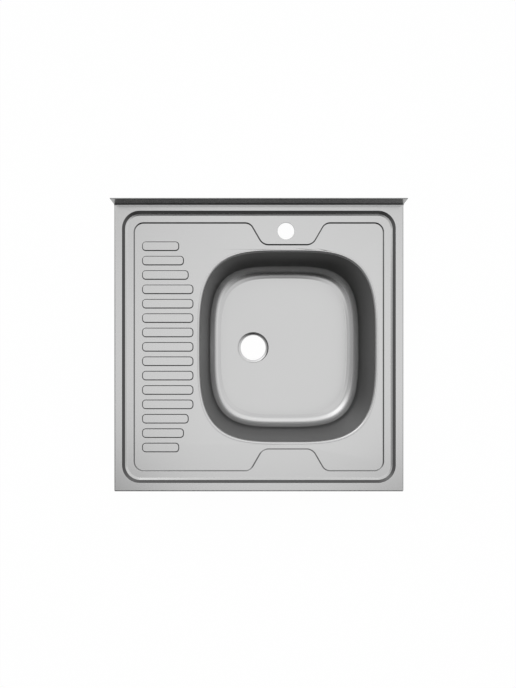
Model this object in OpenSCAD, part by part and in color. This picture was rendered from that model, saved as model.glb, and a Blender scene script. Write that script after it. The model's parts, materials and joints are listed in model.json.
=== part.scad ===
// Lay-on kitchen sink: one pressed steel top with a ribbed drainboard, a rear
// upstand and folded edges, a deep-drawn bowl welded into it, and the pieces
// fixed underneath. X runs to the right, Y to the back and Z up. The origin is
// the middle of the plan, on the surface that the bowl's pad stands on.

/* [Sheet] */
// Thickness of the stainless sheet
sheet_t = 0.8; // [0.6:0.1:1.2]
// Inside radius of the folds along the edges
fold_r = 1.6; // [1.2:0.2:2.4]

/* [Deck] */
// Width of the sink, left to right
deck_w = 600; // [560:10:700]
// Depth of the sink, front to back
deck_d = 600; // [580:10:660]
// Flat border at each side, from the edge to the step
border_side = 16; // [12:1:20]
// Flat border at the front and the back
border_end = 17.5; // [14:0.5:20]
// Corner radius of the step's upper edge
step_r = 37; // [32:1:44]
// Width of the sloping step
step_w = 12; // [8:1:14]
// Drop of the step from the border to the ledge
step_drop = 6.5; // [5:0.5:8]
// Width of the flat ledge inside the step
ledge_w = 10.5; // [9:0.5:13]
// Width of the small step from the ledge to the panel
panel_step_w = 3.5; // [3:0.5:5]
// Drop of the small step
panel_drop = 1.7; // [1.3:0.1:2.5]
// Corner radius of the panel at the ledge
panel_r = 21; // [18:1:26]

/* [Tap ledge and front ledge] */
// Width of a ledge's straight inner side, between its flanks
notch_w = 102; // [92:2:112]
// Gap between a ledge's inner side and the bowl's rim
notch_gap = 11.6; // [11:0.2:17]
// Angle of a ledge's flanks from the side they stand on
notch_angle = 60; // [56:1:66]
// Radius of a ledge's four corners
notch_r = 20; // [16:1:22]
// Diameter of the tap hole
tap_d = 35; // [33:1:36]
// Distance of the tap hole's middle behind the tap ledge's inner side
tap_in = 26.9; // [26:0.1:28]
// Distance of the tap hole's middle to the left of the ledge's middle
tap_left = 3.5; // [0:0.5:5]

/* [Folded edges] */
// Height of the folded skirts
skirt_h = 32; // [28:1:40]
// Width of the lip that rests on the cabinet
lip_w = 18; // [17:1:22]
// Height of the lip's upturned return
return_h = 8; // [7:0.5:10]

/* [Upstand] */
// Height of the rear upstand above the border
upstand_h = 32; // [24:1:40]
// Lean of the upstand towards the wall, in degrees
upstand_lean = 5; // [2:1:6]
// Inside radius of the fold at the upstand's foot
upstand_r = 2.5; // [1.5:0.5:4]
// Length of the upstand's folded hem
hem_l = 9; // [6:1:14]

/* [Drainboard] */
// Number of ribs
rib_count = 15; // [9:2:15]
// Distance from one rib to the next
rib_pitch = 30; // [28:1:30]
// Gap between a full rib's end and the bowl's rim
rib_bowl_gap = 8.3; // [7:0.1:26]
// How much each of the last three ribs is shorter than its neighbour
rib_cut = 9.9; // [6:0.1:12]
// Width of a rib at its foot
rib_w = 20.5; // [17:0.5:23]
// Height of a rib
rib_h = 2; // [1.5:0.1:2.5]
// Corner radius of a rib at its foot
rib_r = 8; // [6:0.5:8]
// Width of a rib's sloping side
rib_slope = 2.4; // [2:0.1:3]
// Gap between the panel's left edge and the ribs
rib_gap = 14; // [12:1:15]

/* [Bowl] */
// Gap between the bowl's rim and the panel's right edge
bowl_margin = 10; // [8:1:12]
// Width of the bowl over its rolled rim
bowl_w = 376; // [360:1:378]
// Depth of the bowl over its rolled rim, front to back
bowl_d = 406; // [390:1:408]
// Depth of the bowl below the panel
bowl_depth = 160; // [140:5:200]
// Power of the rounded square outline
bowl_power = 3.55; // [3:0.05:4.5]
// Radius of the rolled rim
rim_r = 5; // [4:0.5:8]
// How far the wall draws in from the rim to the floor's fillet
wall_draft = 7; // [4:0.5:9]
// How much further the front and rear walls draw in, down to the floor
end_draft = 2.7; // [0:0.1:4]
// Radius of the fillet between wall and floor
floor_r = 26; // [20:1:32]

/* [Drain] */
// Diameter of the drain hole
drain_d = 60; // [52:1:64]
// Diameter of the sunk seat at the floor
seat_d = 75; // [70:1:80]
// Diameter of the sunk seat at its foot
seat_foot_d = 69; // [66:1:72]
// Depth of the seat below the floor
seat_drop = 2.5; // [2:0.1:2.8]
// Distance of the drain to the left of the bowl's middle
drain_left = 73.5; // [60:0.5:80]
// Distance of the drain in front of the bowl's middle
drain_front = 3; // [0:1:10]

/* [Floor pad] */
// Thickness of the sound-deadening pad
pad_t = 3; // [3:0.5:5]
// Width of the pad
pad_w = 276; // [240:2:284]
// Depth of the pad, front to back
pad_d = 290; // [260:2:298]
// Gap between the drain seat and the pad
pad_gap = 6; // [4:1:12]

/* [Drainboard rail] */
// Length of the hat-shaped rail
rail_l = 480; // [400:10:490]
// Width of the rail's crown
rail_crown = 30; // [24:1:40]
// Height of the rail
rail_h = 16; // [12:1:20]
// Width of each flange of the rail
rail_flange = 14; // [10:1:18]
// Thickness of the rail
rail_t = 1; // [0.8:0.1:1.5]

/* [Tap plate] */
// Width of the stiffening plate under the tap hole
plate_w = 84; // [76:1:86]
// Depth of the plate, front to back
plate_d = 48; // [44:1:49]
// Thickness of the plate
plate_t = 1.5; // [1:0.1:2.5]
// Corner radius of the plate
plate_r = 6; // [4:1:8]

/* [Earth tag] */
// Width of the tag
tag_w = 16; // [14:1:20]
// Length of the welded leg and of the hanging leg
tag_l = 20; // [18:1:24]
// Thickness of the tag
tag_t = 1.5; // [1:0.1:2]
// Distance of the tag to the right of the sink's middle
tag_x = 205; // [195:1:215]
// Distance of the tag from the back edge
tag_from_back = 72; // [66:1:80]
// Diameter of the earth screw's thread
earth_d = 5; // [4:1:5]
// Length of the earth screw below its head
earth_l = 14; // [12:1:16]

/* [Sealing strips] */
// Thickness of the foam strips
seal_t = 3; // [2:0.5:5]
// Width of the foam strips
seal_w = 12; // [9:0.5:12]

/* [Fixing clips] */
// Length of a clip along the lip
clip_l = 34; // [30:1:44]
// Thickness of a clip
clip_t = 1.5; // [1.2:0.1:2]
// Reach of a clip below the lip
clip_drop = 42; // [38:1:50]
// Depth of a clip's hook behind the return
hook_h = 5; // [4:0.5:5.5]
// Distance of the clips from the middle of the side
clip_y = 200; // [150:5:220]
// Width of a clip's slot
slot_w = 4.8; // [4.6:0.1:5.2]
// Length of a clip's slot
slot_l = 26; // [20:1:28]
// Slope of the slot, in degrees
slot_angle = 30; // [20:1:35]

/* [Clip screws] */
// Diameter of a screw's thread
screw_d = 4; // [3.5:0.1:4.2]
// Diameter of the plain neck under the head
neck_d = 3.2; // [2.8:0.1:3.4]
// Length of the thread
thread_l = 11; // [10:1:14]
// Diameter of the head
head_d = 8.4; // [7:0.2:9]
// Height of the head
head_h = 2.4; // [2:0.1:3]

/* [Hidden] */

// Gap between pieces that slide on each other
clearance = 0.3;
// How far a cut runs past the surface it opens
overrun = 3;
// Points nearer to each other than this are one point
same = 0.001;
// Gap inside the closed hem
hem_gap = 0.2;
// Gap between the foam strips' ends
seal_gap = 1;
// Width of the flat part that the folded edges share with the plate
lap_w = 4;
// Length of the neck beyond the clip, and of a screw's point
neck_spare = 0.6;
point_l = 3;
// Across flats and height of the earth nut, height and diameter of its screw's head
nut_af = 8;
nut_h = 4;
earth_head_d = 9.5;
earth_head_h = 3.2;
// Radius of the screw heads' rounded edge and width and depth of their cross
head_edge = 1;
cross_w = 1;
cross_depth = 1.2;
// Radius of the clips' and the tag's lower corners
clip_corner = 5;
tag_corner = 4;

// Facets: round bodies, folds, outline corners, bowl outline, rim roll and floor fillet
$fn = 64;
fold_steps = 5;
corner_steps = 8;
bowl_sides = 96;
rim_steps = 5;
fillet_steps = 8;
step_steps = 4;
rib_corner_steps = 4;
slot_steps = 12;

// Heights below the top of the border
ledge_z = -step_drop;
panel_z = -step_drop - panel_drop;
floor_z = panel_z - bowl_depth;
// The top of the border above the surface that the pad stands on
top_z = pad_t + sheet_t - floor_z;

// Corner points of the step and of the panel
step_x = deck_w / 2 - border_side;
step_y = deck_d / 2 - border_end;
panel_x = step_x - step_w - ledge_w;
panel_y = step_y - step_w - ledge_w;

// The bowl's middle, the ribs' left ends and the length of a full rib
bowl_x = panel_x - panel_step_w - bowl_margin - bowl_w / 2;
rib_left = -panel_x + panel_step_w + rib_gap;
rib_l = bowl_x - bowl_w / 2 - rib_bowl_gap - rib_left;

// How far a ledge reaches into the panel, the run of its flanks and the tap hole's middle
notch_reach = panel_y - bowl_d / 2 - notch_gap;
flank_run = notch_reach / tan(notch_angle);
tap_x = bowl_x - tap_left;
tap_y = panel_y - notch_reach + tap_in;

// The return stands between these distances from the skirt's outer face
return_out = lip_w - sheet_t;
// Middle planes of the clip's two legs, from the skirt's outer face
hook_u = return_out - clearance - clip_t / 2;
leg_u = lip_w + clearance + clip_t / 2;
hook_top = -skirt_h + return_h + clearance + clip_t;
slot_z = -skirt_h - clip_drop / 2;

// The upstand's middle plane: the fold's foot and the hem's two layers
layer_gap = sheet_t + hem_gap;
hem_r = layer_gap / 2;
hem_out = hem_r + sheet_t / 2;
upstand_run = (upstand_h - hem_out + sheet_t / 2 + hem_r * sin(upstand_lean)) / cos(upstand_lean);
upstand_y = deck_d / 2 - hem_out - hem_r * cos(upstand_lean) - upstand_run * sin(upstand_lean);
back_end = upstand_y - upstand_r - sheet_t;

// A unit vector, and the same vector turned a quarter turn to the left
function unit(v) = v / norm(v);
function left(v) = [-v.y, v.x];

// Points along the arc that rounds the corner at b between a and c
function corner(a, b, c, r, steps) =
    let (
        u = unit(a - b),
        v = unit(c - b),
        half = acos(u * v) / 2,
        middle = b + unit(u + v) * r / sin(half),
        turn = sign(u.x * v.y - u.y * v.x),
        start = b + u * r / tan(half) - middle,
        sweep = -turn * (180 - 2 * half)
    )
    [for (i = [0 : steps])
        let (q = -sweep * i / steps)
        middle + [start.x * cos(q) + start.y * sin(q), start.y * cos(q) - start.x * sin(q)]];

// A list of points without any that repeats the one before it
function distinct(p) = [for (i = [0 : len(p) - 1]) if (i == 0 || norm(p[i] - p[i - 1]) > same) p[i]];

// An open path with every inner corner rounded by the same radius
function rounded_path(p, r, steps) = distinct(concat(
    [p[0]],
    [for (i = [1 : len(p) - 2]) each corner(p[i - 1], p[i], p[i + 1], r, steps)],
    [p[len(p) - 1]]
));

// A closed outline with corner i rounded by radii[i]
function rounded_loop(p, radii, steps) =
    let (n = len(p))
    [for (i = [0 : n - 1]) each corner(p[(i + n - 1) % n], p[i], p[(i + 1) % n], radii[i], steps)];

// The outline of a bent strip of thickness t along a middle path
function side_of(p, d) = [for (i = [0 : len(p) - 1])
    let (
        before = unit(i == 0 ? p[1] - p[0] : p[i] - p[i - 1]),
        after = unit(i == len(p) - 1 ? p[i] - p[i - 1] : p[i + 1] - p[i]),
        across = unit(left(before) + left(after))
    )
    p[i] + across * d / (across * left(before))];
function reversed(p) = [for (i = [len(p) - 1 : -1 : 0]) p[i]];
function strip(p, t) = concat(side_of(p, t / 2), reversed(side_of(p, -t / 2)));

// A rectangle with round corners, drawn in by s
function rectangle(x, y, s, r, steps) =
    let (a = x - s, b = y - s)
    rounded_loop([[a, b], [-a, b], [-a, -b], [a, -b]], [for (i = [0 : 3]) r - s], steps);

// The panel's outline with its two ledges, drawn in by s
function ledge_points(s) = [
    [notch_w / 2 + flank_run + s * tan(notch_angle / 2), panel_y - s],
    [notch_w / 2 + s * tan(notch_angle / 2), panel_y - notch_reach - s]
];
function panel_outline(s) =
    let (
        a = panel_x - s,
        b = panel_y - s,
        foot = ledge_points(s)[0],
        tip = ledge_points(s)[1],
        m = [bowl_x, 0],
        out = panel_r - s,
        root = notch_r - s,
        nose = notch_r + s
    )
    rounded_loop(
        [
            [a, b], m + foot, m + tip, m + [-tip.x, tip.y], m + [-foot.x, foot.y],
            [-a, b], [-a, -b], m - foot, m - tip, m + [tip.x, -tip.y], m + [foot.x, -foot.y],
            [a, -b]
        ],
        [out, root, nose, nose, root, out, out, root, nose, nose, root, out],
        corner_steps
    );

// The bowl's rounded square outline, drawn in by s, about its own middle
function square_round(x, y, power, sides) = [for (i = [0 : sides - 1])
    let (q = 360 * i / sides)
    [cos(q), sin(q)] / pow(pow(abs(cos(q)) / x, power) + pow(abs(sin(q)) / y, power), 1 / power)];
function bowl_outline(s) =
    let (more = end_draft * max(0, s - rim_r) / (wall_draft + floor_r))
    square_round(bowl_w / 2 - s, bowl_d / 2 - s - more, bowl_power, bowl_sides);

// An outline lifted to a height, and the share of a smooth step's drop at a share of its width
function at_height(outline, z) = [for (p = outline) [p.x, p.y, z]];
function smooth(share) = (1 - cos(180 * share)) / 2;

// Inset and height of the bowl's wall, from the rim to the floor, a distance t outside its face
function bowl_profile(t) = concat(
    [for (i = [0 : rim_steps])
        let (q = 90 * i / rim_steps)
        [(rim_r - t) * sin(q), panel_z - rim_r + (rim_r - t) * cos(q)]],
    [for (i = [0 : fillet_steps])
        let (q = 90 * i / fillet_steps)
        [rim_r + wall_draft + floor_r - (floor_r + t) * cos(q), floor_z + floor_r - (floor_r + t) * sin(q)]]
);

// A closed skin through rings of equally many points, each end closed round its middle
module loft(rings) {
    n = len(rings[0]);
    m = len(rings);
    sum = [for (i = [0 : n - 1]) 1];
    ends = [sum * rings[0] / n, sum * rings[m - 1] / n];
    sides = [for (j = [0 : m - 2], i = [0 : n - 1])
        let (a = j * n + i, b = j * n + (i + 1) % n)
        each [[a, a + n, b + n], [a, b + n, b]]];
    first = [for (i = [0 : n - 1]) [m * n, i, (i + 1) % n]];
    last = [for (i = [0 : n - 1]) [m * n + 1, (m - 1) * n + (i + 1) % n, (m - 1) * n + i]];
    polyhedron(points = concat([for (r = rings) each r], ends), faces = concat(sides, first, last));
}

// Places what is drawn below the top of the border
module from_border() {
    translate([0, 0, top_z]) children();
}

// A bent strip drawn across X and Z, run along Y from y0 to y1
module run_y(outline, y0, y1) {
    translate([0, y1, 0]) rotate([90, 0, 0]) linear_extrude(y1 - y0) polygon(outline);
}

function rib_length(i) = rib_l - rib_cut * max(0, 3 - min(i, rib_count - 1 - i));

// The outline of a rib's foot or top, drawn in by s, in its own place on the panel
function rib_outline(i, s) =
    let (
        x = rib_length(i) / 2,
        middle = [rib_left + x, (i - (rib_count - 1) / 2) * rib_pitch]
    )
    [for (p = rectangle(x, rib_w / 2, s, rib_r, rib_corner_steps)) middle + p];

// A pressed rib: the sheet's underside, then its face, each from foot to top
module rib(i) {
    foot = rib_outline(i, 0);
    crown = rib_outline(i, rib_slope);
    loft([
        at_height(crown, panel_z + rib_h - sheet_t),
        at_height(foot, panel_z - sheet_t),
        at_height(foot, panel_z),
        at_height(crown, panel_z + rib_h)
    ]);
}

// The space above the pressed sheet: the step down to the ledge, then the panel
module pressed_space(above) {
    loft(concat(
        [for (k = [0 : step_steps])
            let (share = k / step_steps, s = step_w * (1 - share))
            at_height(rectangle(step_x, step_y, s, step_r, corner_steps), ledge_z * (1 - smooth(share)))],
        [at_height(rectangle(step_x, step_y, 0, step_r, corner_steps), above)]
    ));
    loft([
        at_height(panel_outline(panel_step_w), panel_z),
        at_height(panel_outline(0), ledge_z),
        at_height(panel_outline(0), ledge_z + panel_drop)
    ]);
}

// The sheet round that space, inside the folded edges
module pressed_sheet() {
    inner = fold_r + sheet_t + lap_w / 2;
    difference() {
        union() {
            translate([-deck_w / 2 + inner, -deck_d / 2 + inner, -sheet_t])
                cube([deck_w - 2 * inner, back_end - lap_w / 2 + deck_d / 2 - inner, sheet_t]);
            translate([0, 0, -sheet_t]) pressed_space(sheet_t / 2);
        }
        pressed_space(overrun);
    }
}

// The cuts through the sheet: under the ribs, at the bowl and at the tap
module openings() {
    translate([0, 0, panel_z - overrun]) linear_extrude(2 * overrun) {
        for (i = [0 : rib_count - 1]) polygon(rib_outline(i, 0));
        translate([bowl_x, 0]) polygon(bowl_outline(0));
    }
    translate([tap_x, tap_y, ledge_z - overrun])
        cylinder(d = tap_d, h = 2 * overrun);
}

// The section of a folded edge: border, skirt, lip and upturned return
edge_outline = strip(rounded_path([
    [fold_r + sheet_t + lap_w, -sheet_t / 2],
    [sheet_t / 2, -sheet_t / 2],
    [sheet_t / 2, -skirt_h + sheet_t / 2],
    [lip_w - sheet_t / 2, -skirt_h + sheet_t / 2],
    [lip_w - sheet_t / 2, -skirt_h + return_h]
], fold_r + sheet_t / 2, fold_steps), sheet_t);

// A side edge along Y, mitred at the front corner
module side_edge() {
    m = lip_w + overrun;
    intersection() {
        translate([-deck_w / 2, 0, 0]) run_y(edge_outline, -deck_d / 2, back_end + overrun);
        translate([0, 0, -skirt_h - overrun]) linear_extrude(skirt_h + 2 * overrun)
            polygon([
                [-deck_w / 2 - overrun, -deck_d / 2 - overrun],
                [-deck_w / 2 + m, -deck_d / 2 + m],
                [-deck_w / 2 + m, back_end],
                [-deck_w / 2 - overrun, back_end]
            ]);
    }
}

// The front edge along X, mitred at both corners
module front_edge() {
    m = lip_w + overrun;
    intersection() {
        rotate(90) translate([-deck_d / 2, 0, 0]) run_y(edge_outline, -deck_w / 2, deck_w / 2);
        translate([0, 0, -skirt_h - overrun]) linear_extrude(skirt_h + 2 * overrun)
            polygon([
                [-deck_w / 2 - overrun, -deck_d / 2 - overrun],
                [-deck_w / 2 + m, -deck_d / 2 + m],
                [deck_w / 2 - m, -deck_d / 2 + m],
                [deck_w / 2 + overrun, -deck_d / 2 - overrun]
            ]);
    }
}

// The upstand: a fold, a leaning face and a closed hem along its top
module upstand() {
    up = [sin(upstand_lean), cos(upstand_lean)];
    back = [up.y, -up.x];
    foot = [upstand_y, -sheet_t / 2];
    top = foot + up * (upstand_run + hem_r);
    fold = corner([back_end, foot.y], foot, top, upstand_r + sheet_t / 2, fold_steps);
    hem = rounded_path([foot + up * upstand_run / 2, top, top + back * layer_gap,
        top + back * layer_gap - up * hem_l], hem_r, fold_steps);
    path = concat([[back_end - lap_w, foot.y]], fold, hem);
    rotate([90, 0, 90]) linear_extrude(deck_w, center = true) polygon(strip(path, sheet_t));
}

// Deck: the pressed top, its folded edges, upstand, tap hole and bowl opening
module deck() {
    color("silver") from_border() {
        difference() {
            pressed_sheet();
            openings();
        }
        for (i = [0 : rib_count - 1]) rib(i);
        side_edge();
        mirror([1, 0, 0]) side_edge();
        front_edge();
        upstand();
    }
}

// Bowl: rolled rim, drawn walls, filleted floor and the sunk drain seat
module bowl() {
    rings = concat(
        [for (p = reversed(bowl_profile(sheet_t))) at_height(bowl_outline(p[0]), p[1])],
        [for (p = bowl_profile(0)) at_height(bowl_outline(p[0]), p[1])]
    );
    color("gainsboro") from_border() translate([bowl_x, 0, 0])
        difference() {
            union() {
                loft(rings);
                translate([-drain_left, -drain_front, floor_z - sheet_t - seat_drop])
                    cylinder(
                        r1 = seat_foot_d / 2 + sheet_t,
                        r2 = seat_d / 2 + sheet_t,
                        h = seat_drop + sheet_t / 2
                    );
            }
            translate([-drain_left, -drain_front, floor_z - seat_drop]) {
                cylinder(d1 = seat_foot_d, d2 = seat_d, h = seat_drop);
                cylinder(d = seat_foot_d, h = seat_drop + overrun);
                translate([0, 0, -sheet_t - overrun]) cylinder(d = drain_d, h = sheet_t + 2 * overrun);
            }
            translate([-drain_left, -drain_front, floor_z]) cylinder(d = seat_d, h = overrun);
        }
}

// Floor pad: bitumen sheet glued under the bowl, open round the drain seat
module floor_pad() {
    color("dimgray") translate([bowl_x, 0, 0])
        difference() {
            linear_extrude(pad_t) polygon(square_round(pad_w / 2, pad_d / 2, bowl_power, bowl_sides));
            translate([-drain_left, -drain_front, -overrun])
                cylinder(r = seat_d / 2 + sheet_t + pad_gap, h = pad_t + 2 * overrun);
        }
}

// Drainboard rail: hat section welded under the ribs, from front to back
module drainboard_rail() {
    side = rail_crown / 2;
    top = panel_z - sheet_t - rail_t / 2;
    low = panel_z - sheet_t - rail_h + rail_t / 2;
    path = rounded_path([
        [-side - rail_flange, top], [-side, top], [-side, low],
        [side, low], [side, top], [side + rail_flange, top]
    ], fold_r, fold_steps);
    color("darkgray") from_border()
        translate([rib_left + rib_l / 2, 0, 0])
            run_y(strip(path, rail_t), -rail_l / 2, rail_l / 2);
}

// Tap plate: stiffener welded under the tap ledge, round the tap hole
module tap_plate() {
    color("darkgray") from_border() translate([tap_x, tap_y, ledge_z - sheet_t - plate_t])
        difference() {
            linear_extrude(plate_t) polygon(rectangle(plate_w / 2, plate_d / 2, 0, plate_r, corner_steps));
            translate([0, 0, -overrun]) cylinder(d = tap_d, h = plate_t + 2 * overrun);
        }
}

// Where the earth tag's hanging leg stands, and the height of its hole
tag_y = deck_d / 2 - tag_from_back;
tag_top = panel_z - sheet_t;
tag_hole_z = tag_top - tag_l + tag_w / 2;

// Earth tag: angle welded under the panel for the bonding wire
module earth_tag() {
    path = rounded_path([
        [tag_l, -tag_t / 2], [tag_t / 2, -tag_t / 2], [tag_t / 2, -tag_l]
    ], fold_r, fold_steps);
    color("silver") from_border()
        difference() {
            intersection() {
                translate([tag_x, tag_y, tag_top]) rotate([90, 0, 90])
                    linear_extrude(tag_w, center = true) polygon(strip(path, tag_t));
                translate([tag_x, tag_y - overrun, tag_top - tag_l / 2]) rotate([-90, 0, 0])
                    linear_extrude(tag_l + 2 * overrun)
                        polygon(rectangle(tag_w / 2, tag_l / 2, 0, tag_corner, corner_steps));
            }
            translate([tag_x, tag_y - overrun, tag_hole_z]) rotate([-90, 0, 0])
                cylinder(d = earth_d + clearance, h = tag_t + 2 * overrun);
        }
}

// A round-edged pan head about Z, its seat at zero, with a cross recess
module pan_head(d, h) {
    difference() {
        rotate_extrude() {
            square([d / 2 - head_edge, h]);
            square([d / 2, h - head_edge]);
            translate([d / 2 - head_edge, h - head_edge]) circle(head_edge);
        }
        for (turn = [0, 90]) rotate(turn) translate([-d / 4, -cross_w / 2, h - cross_depth])
            cube([d / 2, cross_w, cross_depth + overrun]);
    }
}

// Earth screw: machine screw that holds the bonding wire on the tag
module earth_screw() {
    color("gold") from_border() translate([tag_x, tag_y, tag_hole_z]) rotate([90, 0, 0]) {
        pan_head(earth_head_d, earth_head_h);
        translate([0, 0, -earth_l]) cylinder(d = earth_d, h = earth_l);
    }
}

// Earth nut: hexagon nut run up against the tag
module earth_nut() {
    color("gold") from_border() translate([tag_x, tag_y + tag_t, tag_hole_z]) rotate([-90, 0, 0])
        difference() {
            cylinder(d = nut_af / cos(30), h = nut_h, $fn = 6);
            translate([0, 0, -overrun]) cylinder(d = earth_d, h = nut_h + 2 * overrun);
        }
}

// A foam strip under the lip, from one place to another along X and Y
seal_in = (lip_w - seal_w) / 2;
module seal(low, high) {
    color("black") from_border() translate([low.x, low.y, -skirt_h - seal_t])
        cube([high.x - low.x, high.y - low.y, seal_t]);
}

module seal_front() {
    seal(
        [-deck_w / 2 + seal_in, -deck_d / 2 + seal_in],
        [deck_w / 2 - seal_in, -deck_d / 2 + seal_in + seal_w]
    );
}

module seal_left() {
    seal(
        [-deck_w / 2 + seal_in, -deck_d / 2 + seal_in + seal_w + seal_gap],
        [-deck_w / 2 + seal_in + seal_w, back_end]
    );
}

module seal_right() {
    mirror([1, 0, 0]) seal_left();
}

// A slot's outline along X, with round ends
function slot_outline(l, w) = [for (end = [0, 1], k = [0 : slot_steps])
    let (q = 180 * (end + k / slot_steps) - 90, side = 1 - 2 * end)
    [side * (l - w) / 2 + w / 2 * cos(q), w / 2 * sin(q)]];

// A clip for the left lip: a hook over the return and a leg with a sloping slot
module clip(rise) {
    bottom = -skirt_h - clip_drop;
    half_h = (hook_top - bottom) / 2;
    path = rounded_path([
        [hook_u, hook_top - clip_t / 2 - hook_h],
        [hook_u, hook_top - clip_t / 2],
        [leg_u, hook_top - clip_t / 2],
        [leg_u, bottom]
    ], (leg_u - hook_u) / 2, fold_steps);
    color("lightsteelblue") from_border() translate([-deck_w / 2, 0, 0])
        difference() {
            intersection() {
                run_y(strip(path, clip_t), -clip_l / 2, clip_l / 2);
                translate([0, 0, bottom + half_h]) rotate([90, 0, 90])
                    linear_extrude(leg_u + clip_t)
                        polygon(rectangle(clip_l / 2, half_h, 0, clip_corner, corner_steps));
            }
            translate([leg_u - clip_t, 0, slot_z]) rotate([rise * slot_angle, 0, 0]) rotate([90, 0, 90])
                linear_extrude(2 * clip_t) polygon(slot_outline(slot_l, slot_w));
        }
}

// A wood screw in the clip's slot, its head inside and its thread towards the cabinet's side
module clip_screw() {
    neck_l = clip_t + clearance + neck_spare;
    color("gold") from_border() translate([-deck_w / 2 + leg_u + clip_t / 2 + clearance, 0, slot_z])
        rotate([0, 90, 0]) {
            pan_head(head_d, head_h);
            translate([0, 0, -neck_l]) cylinder(d = neck_d, h = neck_l);
            translate([0, 0, -neck_l - thread_l]) cylinder(d = screw_d, h = thread_l);
            translate([0, 0, -neck_l - thread_l - point_l]) cylinder(d1 = 0, d2 = screw_d, h = point_l);
        }
}

module clip_left_front() {
    translate([0, -clip_y, 0]) clip(1);
}

module clip_left_back() {
    translate([0, clip_y, 0]) clip(-1);
}

module clip_right_front() {
    mirror([1, 0, 0]) clip_left_front();
}

module clip_right_back() {
    mirror([1, 0, 0]) clip_left_back();
}

module screw_left_front() {
    translate([0, -clip_y, 0]) clip_screw();
}

module screw_left_back() {
    translate([0, clip_y, 0]) clip_screw();
}

module screw_right_front() {
    mirror([1, 0, 0]) screw_left_front();
}

module screw_right_back() {
    mirror([1, 0, 0]) screw_left_back();
}

deck();
bowl();
floor_pad();
drainboard_rail();
tap_plate();
earth_tag();
earth_screw();
earth_nut();
seal_front();
seal_left();
seal_right();
clip_left_front();
clip_left_back();
clip_right_front();
clip_right_back();
screw_left_front();
screw_left_back();
screw_right_front();
screw_right_back();
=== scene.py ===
# Lay-on kitchen sink with a ribbed drainboard: its finish, small parts, floor, light and camera.
# Lengths are in millimetres, which MM makes metres; heights are measured from the border's top.
import json
import math
import random

import bmesh
import bpy
from mathutils import Matrix, Vector
from mathutils.geometry import tessellate_polygon


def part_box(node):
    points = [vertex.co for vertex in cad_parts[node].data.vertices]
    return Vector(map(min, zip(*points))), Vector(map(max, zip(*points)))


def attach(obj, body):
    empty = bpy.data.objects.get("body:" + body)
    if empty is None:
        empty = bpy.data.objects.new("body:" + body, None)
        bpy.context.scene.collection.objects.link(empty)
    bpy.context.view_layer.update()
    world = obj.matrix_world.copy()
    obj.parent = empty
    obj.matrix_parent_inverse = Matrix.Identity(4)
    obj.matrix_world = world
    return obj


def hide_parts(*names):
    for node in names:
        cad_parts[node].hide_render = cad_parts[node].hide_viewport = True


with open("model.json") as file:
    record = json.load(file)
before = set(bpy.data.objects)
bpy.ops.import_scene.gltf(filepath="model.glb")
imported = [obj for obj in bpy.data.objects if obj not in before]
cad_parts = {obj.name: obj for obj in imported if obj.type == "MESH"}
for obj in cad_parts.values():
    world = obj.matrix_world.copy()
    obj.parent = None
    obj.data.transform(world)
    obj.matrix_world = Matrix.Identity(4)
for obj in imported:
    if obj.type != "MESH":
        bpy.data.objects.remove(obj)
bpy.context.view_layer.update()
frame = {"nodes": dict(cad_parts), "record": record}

MM = 0.001
# Too small to show: keeps a divisor from zero, and points less than this many metres apart are one
TINY = 1e-6

# Sheet, edges and upstand
SHEET = 0.8
BEND = 2.4
DECK_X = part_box("deck")[1].x / MM
DECK_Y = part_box("deck")[1].y / MM
UPSTAND = 32
LEAN = math.radians(5)
FOOT_FOLD = 2.5
HEM = 9
# Outer radius of the closed hem along the upstand's top
HEM_R = 0.9
SKIRT = 32
LIP = 18
RETURN = 8
CORNER = 2.5
TOP_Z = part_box("deck")[1].z / MM - UPSTAND

# Pressed top
STEP_X = DECK_X - 16
STEP_Y = DECK_Y - 17.5
STEP_R = 37
STEP_W = 12
LEDGE_Z = -6.5
LEDGE_W = 10.5
PANEL_X = STEP_X - STEP_W - LEDGE_W
PANEL_Y = STEP_Y - STEP_W - LEDGE_W
PANEL_R = 21
PANEL_STEP = 3.5
PANEL_Z = -8.2
NOTCH_W = 102
NOTCH_GAP = 11.6
NOTCH_ANGLE = math.radians(60)
NOTCH_R = 20
TAP_R = 17.5
TAP_IN = 26.9
TAP_LEFT = 3.5
# Radius of the smoothed edge of the tap hole and of the drain hole
HOLE_EDGE = 0.4

# Bowl and drain
BOWL_X = 60
BOWL_HALF_X = 188
BOWL_HALF_Y = 203
BOWL_POWER = 3.55
BOWL_SIDES = 192
FLOOR_Z = PANEL_Z - 160
RIM_R = 5
DRAFT = 7
END_DRAFT = 2.7
# Radius of the fillet from wall to floor, and the slope in degrees of the straight ramp at its foot
FLOOR_R = 26
CREASE = 16
DRAIN_R = 30
SEAT_R = 37.5
SEAT_DROP = 2.5
DRAIN_X = -73.5
DRAIN_Y = -3

# Sections of the border's step, the panel's step and the drain seat: shares of a step's width, and how
# steep it is there against its steepest part
PRESS = [(0, 0), (0.04, 1), (0.42, 1), (0.48, 0.38), (0.76, 0.38), (0.84, 0), (1, 0)]
PANEL_PRESS = [(0, 0), (0.1, 1), (0.75, 1), (0.9, 0), (1, 0)]
SEAT_PRESS = [(0, 0), (0.1, 1), (0.4, 1), (0.55, 0.6), (0.9, 0.6), (1, 0)]

# Ribs
RIB_COUNT = 15
SHORT_RIBS = 3
RIB_PITCH = 30
RIB_CUT = 9.9
RIB_W = 20.5
RIB_H = 2
RIB_R = 8
RIB_SLOPE = 2.4
RIB_GAP = 14
RIB_BOWL_GAP = 8.3
RIB_LEFT = -PANEL_X + PANEL_STEP + RIB_GAP
RIB_L = BOWL_X - BOWL_HALF_X - RIB_BOWL_GAP - RIB_LEFT

# Width of the narrow flat strip beside every curve, which keeps the flats' shading flat
STRIP = 0.6
# Points of the deck's skin that are nearer than this become one
DOUBLES = STRIP / 100
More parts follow.
